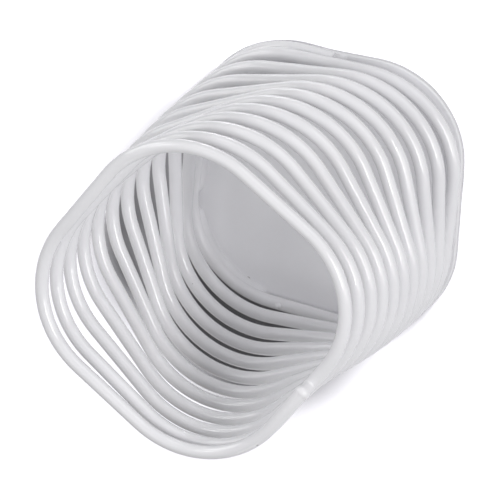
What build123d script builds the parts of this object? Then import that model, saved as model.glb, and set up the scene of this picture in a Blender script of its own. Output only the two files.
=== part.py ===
from build123d import *
import math
import os

# A free-standing desk cup. One round wire is wound into a coil of rounded squares, and each
# square is turned a few degrees against the one above it, so the wall twists from mouth to base.
# The first and the last half turn lie level, which closes the coil at both ends. The coil stands
# on a flat rounded-square base plate and is welded to it.
#
# Frame: millimetres, +Z up, the base plate's underside at z = 0, its centre on the Z axis and
# its sides along X and Y. Wound downwards from the mouth, the wire runs clockwise seen from above.

# Driving dimensions
WIRE_DIAMETER = 4.0
HALF_WIDTH = 41.0            # Z axis to the wire's centre line at the middle of a side
CORNER_RADIUS = 29.6         # bend radius of the wire's centre line
PITCH = 10.0                 # drop of one free turn
TWIST = 6.0                  # degrees that each turn's square is turned against the last one
QUARTERS = 46                # corners in the whole coil, four to a turn
MOUTH_STEP = 5.0             # drop from the wire's upper end to the turn under it
MOUTH_LAP = 1.5              # wire past the middle of a side at its upper end
MOUTH_SPREAD = 0.5           # how far the first half turn stands out past the turns under it
MOUTH_SHIFT = 0.6            # how far it is pushed to the side that faces its upper end
MOUTH_SWING = 2.6            # degrees that it is swung clockwise
FOOT_GAP = 0.1               # room between the wire's lower end and the turn over it
FOOT_CUT = 2.8               # wire short of the middle of a side at its lower end
COIL_SET = 4.5               # degrees that the foot of the coil is turned against the base plate
PLATE_MARGIN = 1.5           # base plate past the wire's centre line at the middle of a side
PLATE_CORNER = 29.0
SHEET = 2.0                  # thickness of the base plate
PLATE_EDGE = 0.5             # radius that eases the base plate's two rims
BASE_BEAD_RADIUS = 1.8       # weld beads along the foot of the coil
SIDE_BEAD_LENGTH = 10.0
SIDE_BEAD_PLACE = 7.0        # its middle past the middle of its side
CORNER_BEAD_START = -28.0    # degrees of the corner's bend, from the middle of the bend
CORNER_BEAD_SWEEP = 66.0
BEAD_GAP = 0.6               # unfilled width at the bottom of the wedge between wire and plate
BEAD_CLEARANCE = 0.02        # between the corner's bead and the wire's surface
END_BEAD_PROUD = 0.1         # round bead at a cut end of the wire: its radius past the wire's
END_BEAD_OFFSET = 0.7        # its centre past the cut end

# Dependent dimensions
WIRE_RADIUS = WIRE_DIAMETER / 2
TURNS = QUARTERS / 4
MOUTH_LEVEL = 1 - MOUTH_STEP / PITCH     # level wire at the mouth, as a share of a turn
FOOT_LEVEL = 1 - (WIRE_DIAMETER + FOOT_GAP) / PITCH   # level wire at the foot
COIL_DROP = PITCH * (TURNS - MOUTH_LEVEL - FOOT_LEVEL)
REST_HEIGHT = SHEET + WIRE_RADIUS        # centre line of the lowest turn
MOUTH_HEIGHT = REST_HEIGHT + COIL_DROP   # centre line of the highest turn
PLATE_WIDTH = 2 * (HALF_WIDTH + PLATE_MARGIN)
END_BEAD_RADIUS = WIRE_RADIUS + END_BEAD_PROUD
NODES = math.ceil(TURNS)
WELDED_CORNER = QUARTERS - 2     # first corner that lies on the plate all along
WELDED_SIDE = QUARTERS - 1       # the side after it


def square_angle(turn):
    """Degrees by which the square is turned after so many turns from the wire's upper end.

    It grows steadily between the first and the last half turn, which aren't twisted.
    """
    return TWIST * min(max(turn, 0.5), TURNS - 0.5)


def height(turn):
    """Height of the centre line after so many turns from the wire's upper end."""
    drop = PITCH * (turn - MOUTH_LEVEL)
    return MOUTH_HEIGHT - min(max(drop, 0), COIL_DROP)


def mouth_share(quarter):
    """How much a side belongs to the loose mouth: 1 in the first half turn, 0 from side 4 on."""
    return min(max(2 - quarter / 2, 0), 1)


def side_direction(quarter):
    """Polar angle, in degrees, of the middle of a side: sides follow each other clockwise."""
    remaining = 90 * (QUARTERS - quarter)
    untwisting = square_angle(TURNS) - square_angle(quarter / 4)
    return remaining + untwisting - COIL_SET - MOUTH_SWING * mouth_share(quarter)


def half_width(quarter):
    """Distance from the Z axis to side `quarter`."""
    facing = math.cos(math.radians(side_direction(quarter) - side_direction(2)))
    return HALF_WIDTH + mouth_share(quarter) * (MOUTH_SPREAD + MOUTH_SHIFT * facing)


def corner(quarter):
    """Point where the straight runs of side `quarter` and the next side would meet."""
    here = side_direction(quarter)
    following = side_direction(quarter + 1)
    half_bend = math.radians((here - following) / 2)
    reach = (half_width(quarter) + half_width(quarter + 1)) / (2 * math.cos(half_bend))
    aside = (half_width(quarter) - half_width(quarter + 1)) / (2 * math.sin(half_bend))
    point = Vector(reach, aside, height((quarter + 0.5) / 4))
    return point.rotate(Axis.Z, (here + following) / 2)


def side_middle(quarter):
    """Point of the centre line where side `quarter` is nearest to the Z axis."""
    if 0 < quarter < QUARTERS:
        level = (corner(quarter - 1).Z + corner(quarter).Z) / 2
    else:
        level = height(quarter / 4)
    return Vector(half_width(quarter), 0, level).rotate(Axis.Z, side_direction(quarter))


def side_frame(quarter, level):
    """Plane at the middle of a side: X outward, Y along the side, Z up."""
    middle = side_middle(quarter)
    outward = Vector(1, 0, 0).rotate(Axis.Z, side_direction(quarter))
    return Plane(origin=(middle.X, middle.Y, level), x_dir=outward, z_dir=(0, 0, 1))


def side_point(quarter, along):
    """Point of the centre line that far along side `quarter`, counter-clockwise."""
    return side_frame(quarter, side_middle(quarter).Z).from_local_coords(Vector(0, along, 0))


def wire_between(first, last):
    """Round wire from the middle of side `first` to the middle of side `last`."""
    start = side_point(first, MOUTH_LAP if first == 0 else 0)
    end = side_point(last, FOOT_CUT if last == QUARTERS else 0)
    points = [start] + [corner(quarter) for quarter in range(first, last)] + [end]
    path = FilletPolyline(*points, radius=CORNER_RADIUS)
    section = Plane(origin=points[0], z_dir=points[1] - points[0]) * Circle(WIRE_RADIUS)
    wire = sweep(section, path=path)
    print(f"sides {first}-{last}: volume {wire.volume:.1f}, "
          f"section x length {section.area * path.length:.1f}")
    return wire


def base_plate():
    """Flat rounded-square sheet with eased rims."""
    sheet = extrude(RectangleRounded(PLATE_WIDTH, PLATE_WIDTH, PLATE_CORNER), amount=SHEET)
    rims = sheet.edges().group_by(Axis.Z)
    return fillet(rims[0] + rims[-1], PLATE_EDGE)


def spindle(length, radius):
    """Pointed round bar along Y, thickest in the middle."""
    bow = ThreePointArc((0, -length / 2), (radius, 0), (0, length / 2))
    chord = Line((0, length / 2), (0, -length / 2))
    return revolve(make_face([bow, chord]), axis=Axis.Y)


def side_weld(quarter, wire):
    """Bead inside the cup, in the wedge between a straight run of the wire and the base plate."""
    wedge_width = BASE_BEAD_RADIUS - BEAD_GAP
    wedge = Pos(-BEAD_GAP, 0, 0) * Box(
        wedge_width, SIDE_BEAD_LENGTH, WIRE_RADIUS, align=(Align.MAX, Align.CENTER, Align.MIN)
    )
    bead = spindle(SIDE_BEAD_LENGTH, BASE_BEAD_RADIUS) & wedge
    return side_frame(quarter, SHEET) * Pos(0, SIDE_BEAD_PLACE, 0) * bead - wire


def corner_weld(quarter):
    """Bead inside the cup, in the wedge between a bend of the wire and the base plate."""
    middle = corner(quarter)
    inset = CORNER_RADIUS / math.cos(math.pi / 4)
    bend_middle = Vector(middle.X, middle.Y, 0).normalized()
    axis = Vector(middle.X, middle.Y, SHEET) - bend_middle * inset
    wedge = Pos(-BEAD_GAP, 0) * Rectangle(
        BASE_BEAD_RADIUS - BEAD_GAP, WIRE_RADIUS, align=(Align.MAX, Align.MIN)
    )
    wire_room = Pos(0, WIRE_RADIUS) * Circle(WIRE_RADIUS + BEAD_CLEARANCE)
    profile = Pos(CORNER_RADIUS, 0) * (Circle(BASE_BEAD_RADIUS) & wedge - wire_room)
    bead = revolve(Plane.XZ * profile, axis=Axis.Z, revolution_arc=CORNER_BEAD_SWEEP)
    return Plane(origin=axis, x_dir=bend_middle) * Rot(0, 0, CORNER_BEAD_START) * bead


def end_weld(quarter, end, side, neighbour):
    """Round bead on a cut end of the wire, which closes it onto the neighbouring turn.

    `end` is the cut's place along its side, and `side` is 1 or -1, the way that the cut faces.
    The neighbouring turn is under an end that faces 1, and over one that faces -1.
    """
    frame = side_frame(quarter, height(quarter / 4))
    centre = Pos(0, end + side * END_BEAD_OFFSET, -side * WIRE_RADIUS)
    ball = centre * Sphere(END_BEAD_RADIUS, rotation=(45, 0, 0))
    room = Pos(0, end + side * WIRE_DIAMETER, 0) * Box(*[2 * WIRE_DIAMETER] * 3)
    return frame * (ball & room) - neighbour


def solids_of(*shapes):
    """One compound that holds every solid of the shapes."""
    return Compound([solid for shape in shapes for solid in shape.solids()])


turns = []
for index in range(NODES):
    turns.append(wire_between(4 * index, min(4 * index + 4, QUARTERS)))
plate = base_plate()

mouth_bead = end_weld(0, MOUTH_LAP, 1, turns[0])
foot_bead = end_weld(QUARTERS, FOOT_CUT, -1, turns[-2])
side_bead = side_weld(WELDED_SIDE, turns[-1])
corner_bead = corner_weld(WELDED_CORNER)

parts = {f"wire_turn_{index + 1:02d}": turn for index, turn in enumerate(turns)}
parts["base_plate"] = plate
parts["mouth_weld"] = mouth_bead
parts["base_welds"] = solids_of(foot_bead, side_bead, corner_bead)

os.makedirs("parts", exist_ok=True)
for name, shape in parts.items():
    export_step(shape, f"parts/{name}.step")
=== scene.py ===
import math

import bpy
import numpy as np
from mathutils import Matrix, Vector


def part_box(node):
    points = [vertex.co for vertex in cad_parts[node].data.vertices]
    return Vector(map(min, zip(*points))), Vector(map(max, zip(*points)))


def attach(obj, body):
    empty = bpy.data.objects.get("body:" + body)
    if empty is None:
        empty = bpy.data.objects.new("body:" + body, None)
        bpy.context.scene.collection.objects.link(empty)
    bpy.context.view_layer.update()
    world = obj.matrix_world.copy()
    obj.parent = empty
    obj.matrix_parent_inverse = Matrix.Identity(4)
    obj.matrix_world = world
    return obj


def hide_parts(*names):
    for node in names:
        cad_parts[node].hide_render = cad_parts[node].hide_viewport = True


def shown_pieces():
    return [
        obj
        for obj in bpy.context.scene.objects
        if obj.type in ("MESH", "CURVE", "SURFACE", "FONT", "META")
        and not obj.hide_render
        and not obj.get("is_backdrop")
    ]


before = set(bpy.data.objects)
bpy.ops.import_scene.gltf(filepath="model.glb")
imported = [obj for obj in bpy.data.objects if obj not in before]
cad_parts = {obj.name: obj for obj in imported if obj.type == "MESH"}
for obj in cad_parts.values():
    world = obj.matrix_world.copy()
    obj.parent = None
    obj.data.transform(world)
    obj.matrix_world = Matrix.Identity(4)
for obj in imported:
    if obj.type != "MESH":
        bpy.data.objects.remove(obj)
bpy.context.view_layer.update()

# ---------------------------------------------------------------------------
# Base plate
# A rounded square cut from flat 2 mm steel sheet, with eased rims. It is welded to the foot of
# the coil, and both get their white powder coat in one go.
# ---------------------------------------------------------------------------
MM = 0.001                   # the pieces' sizes and places are in millimetres, the frame in metres
COAT_WHITE = (0.800, 0.796, 0.818, 1)
THIN_COAT_WHITE = (0.735, 0.732, 0.760, 1)
PINHOLE_GREY = (0.30, 0.295, 0.29, 1)
CLOUD_SCALE = 35.0           # the film's thickness changes slowly, over about 30 mm
PEEL_SCALE = 650.0           # orange peel is about 1.5 mm across
GRAIN_SCALE = 2600.0         # the powder's grain is about 0.4 mm across
PINHOLE_SCALE = 160.0        # cells of about 6 mm, few of which hold a pinhole
THIN_STOPS = ((0.35, 0.0), (0.75, 1.0))        # where the cloud starts and ends the thin film
THIN_SHARE = 0.5             # how far a thin film and the grain turn the white to the thin tone
GRAIN_SHARE = 0.3
PINHOLE_RARITY = 0.985       # share of the cells without a pinhole
PINHOLE_RADIUS = 0.03        # in cells
BARE_SHARE = 0.6             # how far a pinhole or a chip turns to its grey
CHIP_RAGGED = 0.1 * MM       # how much a chip's edge wanders
CLOUD_GLOSS = 0.08           # how much the cloud and the peel add to the roughness
PEEL_GLOSS = 0.04


class Shade:
    """One output of a material's nodes. Arithmetic on it adds Math nodes to the same tree."""

    def __init__(self, tree, socket=None):
        self.tree = tree
        self.socket = socket

    def node(self, kind, settings, sockets, output=0):
        """Adds a node: its settings first, then the values or links of its sockets."""
        made = self.tree.nodes.new(kind)
        for name, value in settings.items():
            if name == "stops":
                for stop, (place, tone) in zip(made.color_ramp.elements, value):
                    stop.position = place
                    stop.color = (tone, tone, tone, 1)
            else:
                setattr(made, name, value)
        for name, value in sockets.items():
            if isinstance(value, Shade):
                self.tree.links.new(value.socket, made.inputs[name])
            else:
                made.inputs[name].default_value = value
        return Shade(self.tree, made.outputs[output] if made.outputs else None)

    def math(self, operation, first, second):
        return self.node("ShaderNodeMath", {"operation": operation}, {0: first, 1: second})

    def __add__(self, other):
        return self.math("ADD", self, other)

    def __radd__(self, other):
        return self.math("ADD", other, self)

    def __sub__(self, other):
        return self.math("SUBTRACT", self, other)

    def __rsub__(self, other):
        return self.math("SUBTRACT", other, self)

    def __mul__(self, other):
        return self.math("MULTIPLY", self, other)

    def __rmul__(self, other):
        return self.math("MULTIPLY", other, self)


def powder_coat(name, peel_height, grain_height, roughness, chips=()):
    """White powder coat, patterned on Object coordinates in metres.

    Orange peel and a finer grain feed one bump. A slow cloud turns the white towards the tone of a
    thinner film and varies the gloss. A few dark specks are pinholes, and each chip is a larger
    one at a known place, given as a centre and a radius in millimetres.
    """
    material = bpy.data.materials.new(name)
    material.use_nodes = True
    material.node_tree.nodes.clear()
    start = Shade(material.node_tree)
    place = start.node("ShaderNodeTexCoord", {}, {}, "Object")

    def noise(scale, detail, rough):
        sockets = {"Vector": place, "Scale": scale, "Detail": detail, "Roughness": rough}
        return start.node("ShaderNodeTexNoise", {}, sockets)

    def blend(factor, first, second):
        """Colour mix: sockets 6 and 7 are the two colours, and output 2 is their mix."""
        sockets = {0: factor, 6: first, 7: second}
        return start.node("ShaderNodeMix", {"data_type": "RGBA"}, sockets, 2)

    cloud = noise(CLOUD_SCALE, detail=2.0, rough=0.5)
    peel = noise(PEEL_SCALE, detail=1.0, rough=0.4)
    grain = noise(GRAIN_SCALE, detail=2.0, rough=0.6)
    thin = start.node("ShaderNodeValToRGB", {"stops": THIN_STOPS}, {0: cloud})
    white = blend(thin * THIN_SHARE + grain * GRAIN_SHARE, COAT_WHITE, THIN_COAT_WHITE)

    cells = {"Vector": place, "Scale": PINHOLE_SCALE}
    from_centre = start.node("ShaderNodeTexVoronoi", {}, cells, "Distance")
    cell_colour = start.node("ShaderNodeTexVoronoi", {}, cells, "Color")
    cell_value = start.node("ShaderNodeSeparateColor", {}, {0: cell_colour})
    chosen = start.math("GREATER_THAN", cell_value, PINHOLE_RARITY)
    bare = start.math("LESS_THAN", from_centre, PINHOLE_RADIUS) * chosen
    for centre, radius in chips:
        ends = {0: place, 1: [axis * MM for axis in centre]}
        away = start.node("ShaderNodeVectorMath", {"operation": "DISTANCE"}, ends, "Value")
        edge = radius * MM + CHIP_RAGGED / 2
        chipped = start.math("LESS_THAN", away + peel * CHIP_RAGGED, edge)
        bare = start.math("MAXIMUM", bare, chipped)

    relief = peel * peel_height + grain * grain_height
    bump = start.node("ShaderNodeBump", {}, {"Height": relief, "Strength": 1.0, "Distance": 1.0})
    shader = start.node(
        "ShaderNodeBsdfPrincipled",
        {},
        {
            "Base Color": blend(bare * BARE_SHARE, white, PINHOLE_GREY),
            "Roughness": cloud * CLOUD_GLOSS + peel * PEEL_GLOSS + roughness,
            "Normal": bump,
            "IOR": 1.5,
        },
    )
    start.node("ShaderNodeOutputMaterial", {}, {"Surface": shader})
    return material


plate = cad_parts["base_plate"]
plate_coat = powder_coat(
    "plate_coat",
    peel_height=0.020 * MM,
    grain_height=0.050 * MM,
    roughness=0.55,
    chips=[((-35.1, 22.8, 2.0), 0.6)],
)
plate.data.materials.clear()
plate.data.materials.append(plate_coat)
plate_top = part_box("base_plate")[1].z / MM

# ---------------------------------------------------------------------------
# Coiled wire
# One 4 mm round steel wire, wound downwards and clockwise into a coil of rounded squares, each
# turned against the one above it. Its ends are cut square and have eased rims, and the loose
# first half turn at the mouth stands out a little past the turns under it.
# ---------------------------------------------------------------------------
WIRE_RADIUS = 2.0
HALF_WIDTH = 41.0
CORNER_RADIUS = 29.6
PITCH = 10.0
TWIST = math.radians(6)
QUARTERS = 46
UNTWISTED = 0.5              # turns at each end that keep one direction
MOUTH_LEVEL = 0.5            # level wire at the mouth, in turns
FOOT_LEVEL = 0.59            # level wire at the foot, in turns
LOOSE_SIDES = 4              # the coil is even from this side on
MOUTH_LAP = 2.9              # the wire's upper end runs on inside its weld
MOUTH_SPREAD = 0.5           # the loose mouth's sides stand this far out
MOUTH_SHIFT = 0.6            # and it is moved this far to one side
SHIFTED_SIDE = 2             # the mouth is pushed towards this side
MOUTH_SWING = math.radians(2.6)                # how far it is turned against the coil
FOOT_CUT = 2.8               # where the wire's lower end is cut, along the last side
COIL_SET = math.radians(4.5)                   # how far the foot is turned against the plate
CUT_EASE = 0.35              # radius of the rim at a cut end
EASE_RINGS = 6
FACE_RADII = np.array([WIRE_RADIUS - CUT_EASE - 0.05, 0.8, 0.3])       # rings on a cut face
WIRE_AROUND = 36             # faces round the wire
TURNS = QUARTERS / 4
COIL_DROP = PITCH * (TURNS - MOUTH_LEVEL - FOOT_LEVEL)
MOUTH_HEIGHT = plate_top + WIRE_RADIUS + COIL_DROP
WIRE_NODES = [f"wire_turn_{turn:02d}" for turn in range(1, math.ceil(TURNS) + 1)]


def unit(vectors):
    """Each vector over its length."""
    return vectors / np.linalg.norm(vectors, axis=-1, keepdims=True)


def mouth_share(quarter):
    """How much a side belongs to the loose mouth: 1 in the first half turn, 0 from side 4 on."""
    return np.clip((LOOSE_SIDES - quarter) / 2, 0, 1)


def side_direction(quarter):
    """Polar angle of the middle of a side: a quarter turn a side, less the twist up to there."""
    twisted = TWIST * np.clip(quarter / 4, UNTWISTED, TURNS - UNTWISTED)
    untwisted = math.pi / 2 * (QUARTERS - quarter) + TWIST * (TURNS - UNTWISTED)
    return untwisted - twisted - COIL_SET - MOUTH_SWING * mouth_share(quarter)


def half_width(quarter):
    """Distance of a side from the Z axis: the mouth is spread, and pushed to one side."""
    facing = np.cos(side_direction(quarter) - side_direction(SHIFTED_SIDE))
    return HALF_WIDTH + mouth_share(quarter) * (MOUTH_SPREAD + MOUTH_SHIFT * facing)


def coil_height(turn):
    """Height of the centre line: level at the mouth, a steady drop, level at the foot."""
    return MOUTH_HEIGHT - np.clip(PITCH * (turn - MOUTH_LEVEL), 0, COIL_DROP)


def side_point(quarter, along):
    """Point that far along a side, counter-clockwise from where it is nearest to the Z axis."""
    turned, out = side_direction(quarter), half_width(quarter)
    height = coil_height(quarter / 4)
    nearest = np.stack([out * np.cos(turned), out * np.sin(turned), height], axis=-1)
    beside = np.stack([-np.sin(turned), np.cos(turned), 0 * turned], axis=-1)
    return nearest + along * beside


def coil_corners():
    """Points where the straight runs of neighbouring sides meet.

    Seen from the Z axis along the mean of the two directions, the point lies at the mean of the
    half widths over the cosine of half the bend, and aside by half their difference over its sine.
    """
    quarter = np.arange(QUARTERS)
    here, following = side_direction(quarter), side_direction(quarter + 1)
    near, far = half_width(quarter), half_width(quarter + 1)
    reach = (near + far) / (2 * np.cos((here - following) / 2))
    aside = (near - far) / (2 * np.sin((here - following) / 2))
    angle = (here + following) / 2
    across = reach * np.cos(angle) - aside * np.sin(angle)
    along = reach * np.sin(angle) + aside * np.cos(angle)
    return np.stack([across, along, coil_height((quarter + 0.5) / 4)], axis=1)


def coil_path(arc_steps, run_steps):
    """Centre line of the wire and its direction, from the upper end to the lower end.

    Where two straight runs meet, an arc of CORNER_RADIUS starts its tangent length before the
    corner and bends from one to the other.
    """
    corners = coil_corners()
    start = side_point(0, MOUTH_LAP)
    end = side_point(QUARTERS, FOOT_CUT)
    into = unit(corners - np.vstack([start, corners[:-1]]))
    onward = unit(np.vstack([corners[1:], end]) - corners)
    bend = np.arccos(np.sum(into * onward, axis=1, keepdims=True))
    towards = unit(onward - into * np.cos(bend))
    arc_start = corners - into * CORNER_RADIUS * np.tan(bend / 2)

    turned = (bend * np.linspace(0, 1, arc_steps + 1))[..., None]
    ahead = np.sin(turned) * into[:, None] + (1 - np.cos(turned)) * towards[:, None]
    arcs = arc_start[:, None] + CORNER_RADIUS * ahead
    arc_ways = np.cos(turned) * into[:, None] + np.sin(turned) * towards[:, None]

    run_end = np.vstack([arc_start[1:], end])
    share = np.linspace(0, 1, run_steps + 1)[1:-1, None]
    runs = arcs[:, -1:] + (run_end - arcs[:, -1])[:, None] * share
    run_ways = np.broadcast_to(onward[:, None], runs.shape)

    points = np.concatenate([arcs, runs], axis=1).reshape(-1, 3)
    ways = np.concatenate([arc_ways, run_ways], axis=1).reshape(-1, 3)
    return np.vstack([start, points, end]), np.vstack([into[0], ways, onward[-1]])


def ring_spokes(ways, around):
    """Unit spokes at right angles to each way, one turn of them about it."""
    side = unit(np.cross(ways, (0.0, 0.0, 1.0)))
    up = np.cross(side, ways)
    turned = np.linspace(0, 2 * math.pi, around, endpoint=False)[:, None]
    return np.cos(turned) * side[:, None] + np.sin(turned) * up[:, None]


def closed_skins(name, skins):
    """One piece of closed skins that face outwards.

    Each skin is a row of rings, joined by quads and closed by a pole in the middle of each end.
    """
    vertices, faces, offset = [], [], 0
    for rings in skins:
        count, around = rings.shape[:2]
        ring = np.arange(around)
        beside = (ring + 1) % around
        row = np.arange(count - 1)[:, None] * around
        next_row = row + around
        quads = np.stack([row + beside, row + ring, next_row + ring, next_row + beside], axis=-1)
        last_row = (count - 1) * around
        near_pole, far_pole = np.full((2, around), count * around) + [[0], [1]]
        near = np.stack([near_pole, ring, beside], axis=-1)
        far = np.stack([far_pole, last_row + beside, last_row + ring], axis=-1)
        vertices += [rings.reshape(-1, 3), rings[:1].mean(axis=1), rings[-1:].mean(axis=1)]
        for group in (quads.reshape(-1, 4), near, far):
            faces += (group + offset).tolist()
        offset += count * around + 2

    mesh = bpy.data.meshes.new(name)
    mesh.from_pydata((np.vstack(vertices) * MM).tolist(), [], faces)
    mesh.shade_smooth()
    piece = bpy.data.objects.new(name, mesh)
    bpy.context.scene.collection.objects.link(piece)
    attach(piece, "root")
    return piece


path, ways = coil_path(arc_steps=24, run_steps=4)
eased = np.linspace(0, math.pi / 2, EASE_RINGS)
rim_inset = CUT_EASE * (1 - np.sin(eased))     # from the cut face, along the wire
rim_radius = WIRE_RADIUS - CUT_EASE * (1 - np.cos(eased))
inset = np.concatenate([rim_inset, 0 * FACE_RADII])
end_radius = np.concatenate([rim_radius, FACE_RADII])
upper_rings = path[0] + ways[0] * inset[::-1, None]
lower_rings = path[-1] - ways[-1] * inset[:, None]
upper_ways, lower_ways = np.repeat(ways[[0, -1], None], len(inset), axis=1)
centres = np.vstack([upper_rings, path[1:-1], lower_rings])
centre_ways = np.vstack([upper_ways, ways[1:-1], lower_ways])
radii = np.concatenate([end_radius[::-1], np.full(len(path) - 2, WIRE_RADIUS), end_radius])
wire_rings = centres[:, None] + ring_spokes(centre_ways, WIRE_AROUND) * radii[:, None, None]
wire = closed_skins("coiled_wire", [wire_rings])
wire_coat = powder_coat(
    "wire_coat",
    peel_height=0.008 * MM,
    grain_height=0.005 * MM,
    roughness=0.09,
    chips=[((-39.2, -23.7, 109.4), 0.4)],
)
wire.data.materials.append(wire_coat)
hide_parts(*WIRE_NODES)

# ---------------------------------------------------------------------------
# Weld beads
# Small beads of steel, laid before the coat. One closes the wire's upper end onto the turn under
# it. The others join the foot of the coil to the base plate: a tapered one at the wire's lower
# end, one round a bend, one beside a straight run, and a drop of spatter on the wire.
# ---------------------------------------------------------------------------
SUNK = 0.06                  # how far a bead's skin runs under the wire's and the plate's
WETTING = 0.32               # softness of the hollow between a bead and what it is laid on
SKIRT = 0.8                  # how far a bead's skin runs on past its lumps, under the surface
PLATE_INSET = 0.4            # how far short of the plate's rim a bead's skin finds the plate
NEARBY = 4                   # wire farther than this past a bead's reach isn't looked at
FAN_STEPS = 12               # rings of spokes that close each end of a bead
FAN_START = 0.1              # angle between the first of them and the line
HALVINGS = 12
BEAD_INSET = 1.35            # a base bead's line runs this far inside the wire's centre line
BEAD_LIFT = 0.35             # and this far above the plate
HALF_BEND = math.pi / 4      # of a bend at the foot, nearly
WELDED_CORNER = QUARTERS - 2
WELDED_SIDE = QUARTERS - 1
fine_path = coil_path(arc_steps=240, run_steps=40)[0]
cut_ends = np.stack([fine_path[0], fine_path[-1]])
from_cut = np.linalg.norm(fine_path[:, None] - cut_ends, axis=-1).min(axis=1)
wire_core = fine_path[from_cut > WIRE_RADIUS]
plate_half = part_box("base_plate")[1].x / MM - PLATE_INSET
bead_height = plate_top + BEAD_LIFT


def bead_skin(line, lumps, radii, reach, around=28):
    """Rings of one bead's skin, about a line inside it.

    The bead is the soft union of its lumps with the wire and the plate: minus the softness times
    the logarithm of the sum of exp(-distance / softness) over all of them. Spokes leave the line
    at right angles, and fan out to the line's own direction at its two ends. Halving finds where
    each leaves the bead, or it stops at its reach, under the wire's or the plate's surface.
    """
    ways = unit(np.gradient(line, axis=0))
    fan = np.linspace(FAN_START, math.pi / 2, FAN_STEPS + 1)[:-1, None, None]
    spokes = ring_spokes(ways, around)
    first = np.sin(fan) * spokes[0] - np.cos(fan) * ways[0]
    last = np.sin(fan[::-1]) * spokes[-1] + np.cos(fan[::-1]) * ways[-1]
    spokes = np.concatenate([first, spokes, last])
    first_middles, last_middles = np.repeat(line[[0, -1], None], FAN_STEPS, axis=1)
    middles = np.concatenate([first_middles, line, last_middles])
    span = np.linalg.norm(line - line.mean(axis=0), axis=1).max() + reach + NEARBY
    near_wire = wire_core[np.linalg.norm(wire_core - line.mean(axis=0), axis=1) < span]

    def outside(points):
        """Whether each point is outside the bead."""
        to_lumps = np.linalg.norm(points[..., None, :] - lumps, axis=-1) - radii
        to_wire = np.linalg.norm(points[..., None, :] - near_wire, axis=-1).min(axis=-1)
        to_rim = np.abs(points[..., :2]).max(axis=-1) - plate_half
        to_plate = np.maximum(points[..., 2] - plate_top, to_rim)
        to_others = np.stack([to_wire - WIRE_RADIUS, to_plate], axis=-1) + SUNK
        to_others = np.maximum(to_others, to_lumps.min(axis=-1, keepdims=True) - SKIRT)
        parts = np.exp(-np.concatenate([to_lumps, to_others], axis=-1) / WETTING)
        return parts.sum(axis=-1) < 1

    low, high = np.zeros(spokes.shape[:2]), np.full(spokes.shape[:2], float(reach))
    for _ in range(HALVINGS):
        middle = (low + high) / 2
        out = outside(middles[:, None] + spokes * middle[..., None])
        low, high = np.where(out, low, middle), np.where(out, middle, high)
    return middles[:, None] + spokes * low[..., None]


def rippled(line, spacing=0.9, radius=0.95, ripple=0.05):
    """Lumps along a line and their radii, which two sines swell and shrink in turn.

    The radii taper as a square root over the last sixth of the line at each end, to 0.72 of the
    full radius.
    """
    count = max(int(np.linalg.norm(line[-1] - line[0]) / spacing), 2)
    along = np.linspace(0, 1, count)
    share = np.linspace(0, 1, len(line))
    lumps = np.stack([np.interp(along, share, line[:, axis]) for axis in range(3)], axis=1)
    lump = np.arange(count)
    swell = np.sin(lump * 2.2) + 0.6 * np.sin(lump * 5.1)
    taper = np.clip(np.minimum(along, 1 - along) * 6, 0, 1) ** 0.5
    return lumps, radius * (0.72 + 0.28 * taper) + ripple * swell


def at_end(end, way, steps):
    """Points beside a cut end, given as steps past the cut, outward and up."""
    directions = np.stack([unit(way * (1, 1, 0)), unit(end * (1, 1, 0)), (0, 0, 1)])
    return end + steps @ directions


mouth_steps = np.array(
    [(0.2, 0.2, 0.0), (0.0, -0.8, 0.2), (0.8, 0.2, -1.9), (0.0, 1.2, -0.1), (1.0, 0.1, -3.6)]
)
mouth_lumps = at_end(path[0], -ways[0], mouth_steps)
mouth_radii = np.array([1.95, 1.2, 1.55, 1.0, 1.4])
mouth_line = at_end(path[0], -ways[0], np.linspace((0.3, 0.0, -0.7), (1.0, 0.0, -2.4), 12))
mouth_skin = bead_skin(mouth_line, mouth_lumps, mouth_radii, reach=4.2, around=72)
mouth_bead = closed_skins("mouth_bead", [mouth_skin])
weld_coat = powder_coat(
    "weld_coat", peel_height=0.020 * MM, grain_height=0.010 * MM, roughness=0.30
)
mouth_bead.data.materials.append(weld_coat)
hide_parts("mouth_weld")

foot_steps = np.array([(-0.2, -0.25, -0.4), (0.7, -0.2, -1.0), (1.6, -0.1, -1.5), (2.6, 0.0, -1.9)])
foot_lumps = at_end(path[-1], ways[-1], foot_steps)
foot_radii = np.array([1.45, 1.0, 0.75, 0.55])
foot_line = at_end(path[-1], ways[-1], np.linspace((-0.1, -0.3, -0.6), (1.7, -0.3, -1.6), 12))

corner = coil_corners()[WELDED_CORNER]
bend_middle = unit(corner * (1, 1, 0))
bend_axis = corner - bend_middle * CORNER_RADIUS / math.cos(HALF_BEND)
swept = math.atan2(bend_middle[1], bend_middle[0]) + np.radians(np.linspace(-28, 38, 34))
swept_spokes = np.stack([np.cos(swept), np.sin(swept), 0 * swept], axis=1)
corner_line = bend_axis * (1, 1, 0) + swept_spokes * (CORNER_RADIUS - BEAD_INSET)
corner_line[:, 2] = bead_height

side_run = side_point(np.full(14, WELDED_SIDE), np.linspace(2.0, 12.0, 14)[:, None])
side_line = side_run - unit(side_point(WELDED_SIDE, 0) * (1, 1, 0)) * BEAD_INSET
side_line[:, 2] = bead_height

drop_line = np.linspace((-40.4, 11.3, 5.9), (-40.3, 11.2, 6.2), 3)
drop_lumps = np.array([(-40.4, 11.4, 6.1), (-40.2, 10.9, 6.0)])
drop_radii = np.array([0.55, 0.35])

base_beads = closed_skins(
    "base_beads",
    [
        bead_skin(foot_line, foot_lumps, foot_radii, reach=2.4, around=48),
        bead_skin(corner_line, *rippled(corner_line), reach=1.9),
        bead_skin(side_line, *rippled(side_line), reach=1.9),
        bead_skin(drop_line, drop_lumps, drop_radii, reach=1.2),
    ],
)
base_beads.data.materials.append(weld_coat)
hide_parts("base_welds")

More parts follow.
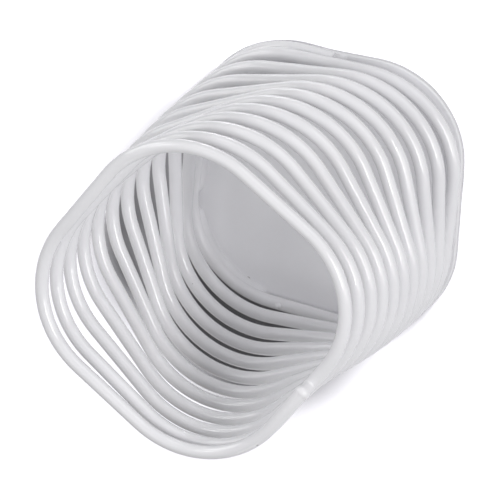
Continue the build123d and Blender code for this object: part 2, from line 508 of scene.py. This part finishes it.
# ---------------------------------------------------------------------------
# Floor, light and camera
# The cup stands on a plain pale floor in a light tent. A high lamp throws its shadow close behind
# it, and a small one clears the ground by its +X side. Lamps that leave the floor alone light the
# cup: a flat strip draws thin highlights along the wire, and soft squares fill in round about.
# ---------------------------------------------------------------------------
FLOOR_HALF = 3.0             # in metres, as are all lengths from here on
FLOOR_DROP = 0.00005         # the floor lies this far under the cup
FLOOR_SEEN = (0.28, 0.2772, 0.2912, 1)         # its colour to the camera and in reflections
FLOOR_BOUNCE = (0.075, 0.075, 0.075, 1)        # its colour to the light it throws on the cup
TENT_LEVEL = 0.24            # the tent's light on the objects, where its seen light is 1
AIM_HEIGHT = 0.05            # the lamps point at this height on the Z axis
RAYS = ("Is Camera Ray", "Is Glossy Ray", "Is Transmission Ray")


def seen_directly(start):
    """1 for rays of the camera and of mirror or glass reflections, 0 for the object's light."""
    rays = {name: start.node("ShaderNodeLightPath", {}, {}, name) for name in RAYS}
    total = rays["Is Camera Ray"] + rays["Is Glossy Ray"] + rays["Is Transmission Ray"]
    return start.math("MINIMUM", total, 1.0)


corners_xy = np.array([(-1, -1), (1, -1), (1, 1), (-1, 1)]) * FLOOR_HALF
floor_mesh = bpy.data.meshes.new("floor")
floor_mesh.from_pydata([(x, y, -FLOOR_DROP) for x, y in corners_xy.tolist()], [], [(0, 1, 2, 3)])
floor = bpy.data.objects.new("floor", floor_mesh)
bpy.context.scene.collection.objects.link(floor)
floor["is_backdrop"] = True
floor_paint = bpy.data.materials.new("floor_paint")
floor_paint.use_nodes = True
floor_paint.node_tree.nodes.clear()
start = Shade(floor_paint.node_tree)
tones = {0: seen_directly(start), 6: FLOOR_BOUNCE, 7: FLOOR_SEEN}
tone = start.node("ShaderNodeMix", {"data_type": "RGBA"}, tones, 2)
paint = start.node("ShaderNodeBsdfDiffuse", {}, {"Color": tone})
start.node("ShaderNodeOutputMaterial", {}, {"Surface": paint})
floor_mesh.materials.append(floor_paint)

world = bpy.data.worlds.new("light_tent")
bpy.context.scene.world = world
world.use_nodes = True
world.node_tree.nodes.clear()
start = Shade(world.node_tree)
tent_strength = seen_directly(start) * (1 - TENT_LEVEL) + TENT_LEVEL
background = start.node("ShaderNodeBackground", {}, {"Strength": tent_strength})
start.node("ShaderNodeOutputWorld", {}, {"Surface": background})


def soft_lamp(name, azimuth, elevation, distance, width, height, watts, lit):
    """Rectangular lamp that faces the middle of the cup and lights one collection only.

    The angles are in degrees, the lengths in metres.
    """
    lamp = bpy.data.lights.new(name, "AREA")
    lamp.shape = "RECTANGLE"
    lamp.size = width
    lamp.size_y = height
    lamp.energy = watts
    turned, raised = math.radians(azimuth), math.radians(elevation)
    level = math.cos(raised)
    way = Vector((math.cos(turned) * level, math.sin(turned) * level, math.sin(raised)))
    holder = bpy.data.objects.new(name, lamp)
    bpy.context.scene.collection.objects.link(holder)
    holder.location = way * distance + Vector((0, 0, AIM_HEIGHT))
    holder.rotation_euler = (-way).to_track_quat("-Z", "Y").to_euler()
    holder.visible_camera = False
    holder.light_linking.receiver_collection = lit


stage_only = bpy.data.collections.new("stage_only")
stage_only.objects.link(floor)
cup_only = bpy.data.collections.new("cup_only")
plate_only = bpy.data.collections.new("plate_only")
wire_only = bpy.data.collections.new("wire_only")
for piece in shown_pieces():
    cup_only.objects.link(piece)
    (plate_only if piece == plate else wire_only).objects.link(piece)

for lamp_row in (
    # name, azimuth, elevation, distance, width, height, watts, what it lights
    ("floor_lamp", -42, 72, 3.0, 0.30, 0.30, 345, stage_only),
    ("floor_edge_lamp", 12, -8, 0.16, 0.05, 0.05, 1.0, stage_only),
    ("key_lamp", -83, 48, 1.6, 0.70, 0.05, 10.5, wire_only),
    ("plate_lamp", -83, 48, 1.6, 0.80, 0.80, 10.5, plate_only),
    ("low_key_lamp", -85, 20, 1.6, 0.80, 0.80, 6.0, cup_only),
    ("side_lamp", -40, 20, 1.6, 0.80, 0.80, 3.1, cup_only),
    ("far_lamp", 5, 20, 1.6, 0.40, 0.40, 1.2, cup_only),
    ("back_lamp", 50, 20, 1.6, 0.80, 0.80, 8.6, cup_only),
    ("high_back_lamp", 50, 50, 1.6, 0.40, 0.40, 2.6, cup_only),
    ("top_lamp", 0, 85, 1.6, 0.80, 0.80, 2.0, cup_only),
    ("near_lamp", 185, 20, 1.6, 0.40, 0.40, 1.5, cup_only),
):
    soft_lamp(*lamp_row)

CAMERA_PLACE = (0.76167, -0.66572, 1.83991)
CAMERA_TURN = (-20.4754, 21.9226, -86.1692)    # in degrees, about X, Y and Z
camera = bpy.data.objects.new("camera", bpy.data.cameras.new("camera"))
bpy.context.scene.collection.objects.link(camera)
camera.data.lens = 504       # a long lens over a frame 36 wide, in millimetres
camera.data.sensor_width = 36
camera.location = CAMERA_PLACE
camera.rotation_euler = [math.radians(angle) for angle in CAMERA_TURN]
bpy.context.scene.camera = camera
bpy.context.scene.view_settings.view_transform = "Standard"
